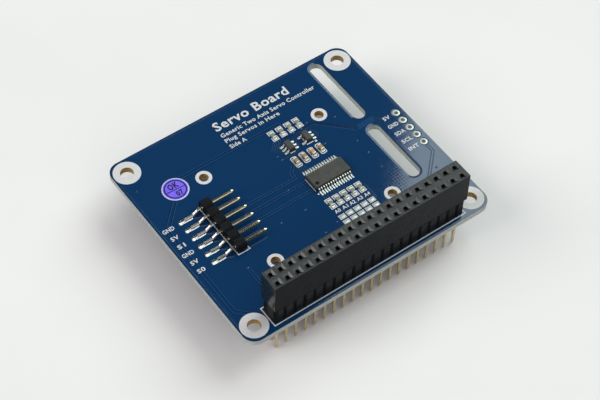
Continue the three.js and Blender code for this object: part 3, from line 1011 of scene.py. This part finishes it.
def add_servo_housing():
    """Six eight-sided segments in a row, moulded as one block with softened end faces."""
    low, high = corners("servo_header_housing")
    notch = SEGMENT_NOTCH
    under = []
    over = []
    for i in range(len(SERVO_PINS)):
        start = low.y + i * PITCH
        end = start + PITCH
        under += [(start, low.z + notch), (start + notch, low.z), (end - notch, low.z)]
        over = [(end - notch, high.z), (start + notch, high.z), (start, high.z - notch)] + over
    outline = under + [(high.y, low.z + notch), (high.y, high.z - notch)] + over
    soft = 0.07
    levels = [(low.x, -soft), (low.x + soft, 0), (high.x - soft, 0), (high.x, -soft)]
    rings = [[(x, y, z) for y, z in grown(outline, growth)] for x, growth in levels]
    body = Body()
    body.loft(rings)
    add_piece("servo_header_block", body, [HEADER_BLACK], ["servo_header_housing"])


# ---- Chips ----

LEAD = {"thickness": 0.15, "foot": 0.45}


def lead_body(start, reach, shoulder, width, z=0.0):
    """A bent lead along +X: out of the body at shoulder height, down, and flat on its pad."""
    thick = LEAD["thickness"]
    bend = reach - LEAD["foot"]
    line = rounded_path([(start, shoulder), (bend - 0.22, shoulder), (bend, thick / 2), (reach, thick / 2)], 0.16, 4)
    count = len(line)
    upper = []
    lower = []
    for i, here in enumerate(line):
        along = (line[min(i + 1, count - 1)] - line[max(i - 1, 0)]).normalized()
        across = Vector((-along.y, along.x)) * thick / 2
        upper.append(here + across)
        lower.append(here - across)
    outline = lower + upper[::-1]
    body = Body()
    body.loft([[(p.x, y, p.y + z) for p in outline] for y in (-width / 2, width / 2)])
    return body


def chip_mesh_body(length, width, height, dimple=None):
    """A moulded body with sloping sides, centred on the origin, with an optional round pin mark whose bowl has
    painted shade.
    """
    body = Body()
    draft = 0.12
    standoff = 0.1
    waist = rounded_box(-length / 2, length / 2, -width / 2, width / 2, 0.22, 3)
    levels = [(standoff, -draft), (standoff + height / 2 - 0.04, 0), (standoff + height / 2 + 0.04, 0),
              (standoff + height - 0.05, -draft), (standoff + height, -draft - 0.05)]
    body.loft([level_ring(grown(waist, growth), z) for z, growth in levels], closed=False)
    body.cap([grown(waist, -draft)], standoff)
    top = grown(waist, -draft - 0.05)
    if dimple is None:
        body.cap([top], standoff + height)
        return body
    x, y, radius = dimple
    rim = circle(x, y, radius, 28)
    body.cap([top, rim], standoff + height)
    # the bowl takes the painted-shade material
    bowl = [(radius, 0), (radius * 0.94, -0.04), (radius * 0.5, -0.05), (radius * 0.05, -0.05)]
    rings = [level_ring(circle(x, y, r, 28), standoff + height + drop) for r, drop in bowl]
    body.loft(rings, 1, closed=False)
    body.cap([circle(x, y, radius * 0.05, 28)], standoff + height - 0.05, 1)
    return body


def pad_fillet(u, v):
    return 0.06 + 0.12 * (1 - v ** 2) * (1 - max(u, 0) ** 2) * (0.5 + 0.5 * (1 - u))


def add_chip(name, node, body, leads, pads):
    """A chip piece with its leads, and the soldered pads under them.

    Each lead has a direction in turns, an offset along the chip's side, its start, reach and width,
    and the height at which it leaves the body. The pads run from an inner to an outer distance.
    """
    centre = middle(node)
    base = corners(node)[0].z
    at = Matrix.Translation((centre.x, centre.y, base))
    chip = Body()
    chip.join(body, at)
    solder = Body()
    for turns, offset, start, reach, width, shoulder in leads:
        turn = Matrix.Rotation(2 * math.pi * turns, 4, "Z")
        lead = lead_body(start, reach, shoulder, width)
        lead.numbers = [2] * len(lead.faces)
        chip.join(lead, at @ turn @ Matrix.Translation((0, offset, 0)))
        inner, outer, half = pads
        pad = Body()
        pad.mound(inner, outer, offset - half, offset + half, INK_LOW - base, pad_fillet, (8, 6))
        solder.join(pad, at @ turn)
    add_piece(name, chip, [CHIP_BLACK, CHIP_PIT_SHADE, LEAD_TIN, CHIP_MARK], [node])
    add_piece(name + "_pads", solder, [PAD_TIN])


DRIVER = {"length": 9.7, "width": 4.4, "height": 1.05, "leads": 14, "pitch": 0.65, "lead": 0.26}
SMALL_CHIP = {"length": 1.6, "width": 2.9, "height": 1.1, "pitch": 0.95, "lead": 0.4}


def add_driver_chip():
    size = DRIVER
    body = chip_mesh_body(size["length"], size["width"], size["height"], (-3.84, -1.1, 0.48))
    face = 0.1 + size["height"]
    body.letters("SERVO", -2.3, 0.25, 0.62, face - 0.02, face + 0.003, 3.2, number=3)
    body.letters("DRIVER 16", -2.3, -0.85, 0.62, face - 0.02, face + 0.003, 5.2, number=3)
    reach = (corners("driver_chip")[1].y - corners("driver_chip")[0].y) / 2
    shoulder = 0.1 + size["height"] / 2
    leads = []
    for turns in (0.25, 0.75):
        for i in range(size["leads"]):
            offset = (i - (size["leads"] - 1) / 2) * size["pitch"]
            leads.append((turns, offset, size["width"] / 2 - 0.2, reach, size["lead"], shoulder))
    add_chip("driver_chip_package", "driver_chip", body, leads, (2.62, 3.85, 0.19))


def add_small_chip(name, node, left_offsets):
    size = SMALL_CHIP
    body = chip_mesh_body(size["length"], size["width"], size["height"])
    reach = (corners(node)[1].x - corners(node)[0].x) / 2
    shoulder = 0.1 + size["height"] / 2
    start = size["length"] / 2 - 0.2
    right_offsets = (-size["pitch"], 0, size["pitch"])
    leads = [(0, offset, start, reach, size["lead"], shoulder) for offset in right_offsets]
    leads += [(0.5, offset, start, reach, size["lead"], shoulder) for offset in left_offsets]
    add_chip(name, node, body, leads, (0.98, 1.88, 0.29))


# ---- Resistors and capacitors ----

def end_fillet(u, v):
    """Solder that climbs towards the part's end cap: u runs away from the part."""
    return 0.06 + 0.26 * (1 - v ** 4) * max(0.0, 1 - (u + 1) / 2) ** 1.8


def add_small_part(name, node, place, height, body_finishes, pad_reach):
    """A two-terminal part lying along Y, its plated end caps, pads and solder."""
    low = corners(node)[0].z
    half = CHIP_PART["half_width"] - 0.03
    length = CHIP_PART["half_length"]
    cap = CHIP_PART["cap"]
    body = Body()
    split = low + height * 0.8
    inner = length - cap + 0.05
    body.block(place.x - half, place.x + half, place.y - inner, place.y + inner, low + 0.03, split, 0.02, 1)
    body.block(place.x - half, place.x + half, place.y - inner, place.y + inner, split - 0.02, low + height, 0.03, 0)
    for side in (-1, 1):
        ends = sorted((place.y + side * length, place.y + side * (length - cap)))
        wide = half + 0.03
        body.block(place.x - wide, place.x + wide, *ends, low, low + height + 0.03, 0.06, 2)
        pad = Body()
        pad.mound(-0.44, pad_reach - length, -0.48, 0.48, INK_LOW, end_fillet, (12, 8), number=3)
        turn = Matrix.Rotation(side * math.pi / 2, 4, "Z")
        body.join(pad, Matrix.Translation((place.x, place.y + side * (length - 0.02), 0)) @ turn)
    add_piece(name, body, [*body_finishes, LEAD_TIN, PAD_TIN], [node])


def add_small_parts():
    for i, place in enumerate(resistor_places()):
        add_small_part(f"pullup_resistor_{i + 1}", "pullup_resistor_row", place, 0.45,
                       [RESISTOR_TOP, RESISTOR_BASE], 1.27)
    for i, place in enumerate(address_places()):
        add_small_part(f"address_resistor_{i + 1}", "address_resistor_row", place, 0.45,
                       [RESISTOR_TOP, RESISTOR_BASE], 1.27)
    for i, place in enumerate(capacitor_places()):
        tone = CAPACITOR_ORANGE if i == 2 else CAPACITOR_TAN
        add_small_part(f"capacitor_{i + 1}", "capacitor_row", place, 0.8, [tone, tone],
                       1.16)


# ---- Sticker ----

def add_sticker():
    low, high = corners("inspection_sticker")
    centre = (low + high) / 2
    radius = (high.x - low.x) / 2
    x, y = centre.x, centre.y
    body = Body()
    body.turned(x, y, [(radius, low.z), (radius, high.z - 0.02), (radius - 0.03, high.z)], 64, 0)
    face = high.z
    body.turned(x, y, [(radius - 0.28, face - 0.01), (radius - 0.28, face + 0.006)], 64, 1)
    rise = face + 0.012
    ring = circle(x, y, radius - 0.5, 64)
    body.plate(ring, [grown(ring, -0.32)], [(face, 0), (rise, 0)], cap=2, wall=2)
    half = radius - 0.7
    tilt = -0.06
    line = [(x - half, y - 0.1 - half * tilt), (x + half, y - 0.1 + half * tilt)]
    body.ribbon(line, 0.23, face, rise - 0.003, number=2)
    body.letters("OK", x - 1.3, y + 0.3, 1.5, face, rise, 2.6, 0.045, 2)
    body.letters("07", x - 0.55, y - 1.95, 1.3, face, rise, 1.7, 0.045, 2)
    add_piece("round_sticker", body, [STICKER_WHITE, STICKER_PURPLE, STICKER_INK],
              ["inspection_sticker"])


# ---- Underside ----

def add_underside_legend():
    body = Body()
    z_high = COPPER
    z_low = BOARD_LOW.z - INK
    for sx, sy in ALL_CORNERS:
        for hole, sides in ((MOUNT_HOLE, 48), (SMALL_HOLE, 36)):
            x, y = sx * hole["x"], sy * hole["y"]
            body.plate(circle(x, y, hole["ring"], sides), [circle(x, y, hole["radius"], sides)],
                       [(z_low, 0), (z_high, 0)])
    add_piece("legend_underside_rings", body, [LEGEND])


# ---- Camera, lights and floor ----

CAMERA = {"target": (-2.03, -3.55, 1.66), "azimuth": -37.56, "elevation": 53.02, "distance": 388.6,
          "roll": 2.03, "lens": 106.34}


def toward(azimuth, elevation):
    """Unit vector from the object to a place, with azimuth 0 on the -Y side and turning to +X."""
    a = math.radians(azimuth)
    e = math.radians(elevation)
    return Vector((math.sin(a) * math.cos(e), -math.cos(a) * math.cos(e), math.sin(e)))


def add_camera():
    data = bpy.data.cameras.new("camera")
    data.lens = CAMERA["lens"]
    data.sensor_width = 36
    data.clip_start = 0.01
    camera = bpy.data.objects.new("camera", data)
    back = toward(CAMERA["azimuth"], CAMERA["elevation"])
    camera.location = (Vector(CAMERA["target"]) + back * CAMERA["distance"]) * MM
    roll = Quaternion(back, math.radians(CAMERA["roll"]))
    camera.rotation_mode = "QUATERNION"
    camera.rotation_quaternion = roll @ (-back).to_track_quat("-Z", "Y")
    bpy.context.scene.collection.objects.link(camera)
    bpy.context.scene.camera = camera


def add_softbox(name, azimuth, elevation, radius, strength, tint=(1, 1, 1)):
    """A far round softbox of an angular radius in degrees."""
    data = bpy.data.lights.new(name, "SUN")
    data.energy = strength
    data.angle = math.radians(2 * radius)
    data.color = tint
    light = bpy.data.objects.new(name, data)
    light.rotation_mode = "QUATERNION"
    light.rotation_quaternion = toward(azimuth, elevation).to_track_quat("Z", "Y")
    bpy.context.scene.collection.objects.link(light)


def add_floor():
    half = 3.0
    mesh = bpy.data.meshes.new("floor")
    z = cad_low.z
    mesh.from_pydata([(-half, -half, z), (half, -half, z), (half, half, z), (-half, half, z)], [], [(0, 1, 2, 3)])
    mesh.materials.append(pale_floor())
    floor = bpy.data.objects.new("floor", mesh)
    bpy.context.scene.collection.objects.link(floor)


def add_world():
    """A pale backdrop that lights the object only softly."""
    world = bpy.data.worlds.new("studio")
    bpy.context.scene.world = world
    world.use_nodes = True
    nodes = world.node_tree.nodes
    links = world.node_tree.links
    shown = nodes.new("ShaderNodeMixRGB")
    shown.inputs["Color1"].default_value = (0.10, 0.105, 0.11, 1)
    shown.inputs["Color2"].default_value = (0.72, 0.72, 0.72, 1)
    links.new(nodes.new("ShaderNodeLightPath").outputs["Is Camera Ray"], shown.inputs["Fac"])
    links.new(shown.outputs["Color"], nodes["Background"].inputs["Color"])


bpy.context.scene.view_settings.view_transform = "Standard"
add_camera()
add_world()
add_floor()
add_softbox("key_softbox", 255, 37, 19, 1.75)
add_softbox("rear_softbox", 99.8, 45.5, 25.2, 2.4, (0.87, 1, 0.96))
add_softbox("fill_softbox", 0, 55, 35, 1.2)

add_substrate()
add_pour("copper_pour_top", TOP - COPPER, TOP, 0.95)
add_pour("copper_pour_bottom", BOARD_LOW.z + COPPER, BOARD_LOW.z, 1.1)
add_tracks()
add_legend_rings()
add_legend_outlines()
add_legend_lettering()
add_underside_legend()
add_sensor_pads()
add_jumper_pads()
add_tail_joints()
add_servo_joints()
add_socket_housing()
add_spacer_strip("spacer_strip_lower")
add_spacer_strip("spacer_strip_upper")
add_contacts()
add_servo_housing()
add_servo_pins()
add_driver_chip()
add_small_chip("level_shifter_package", "level_shifter", (-0.95, 0, 0.95))
add_small_chip("voltage_regulator_package", "voltage_regulator", (-0.95, 0.95))
add_small_parts()
add_sticker()
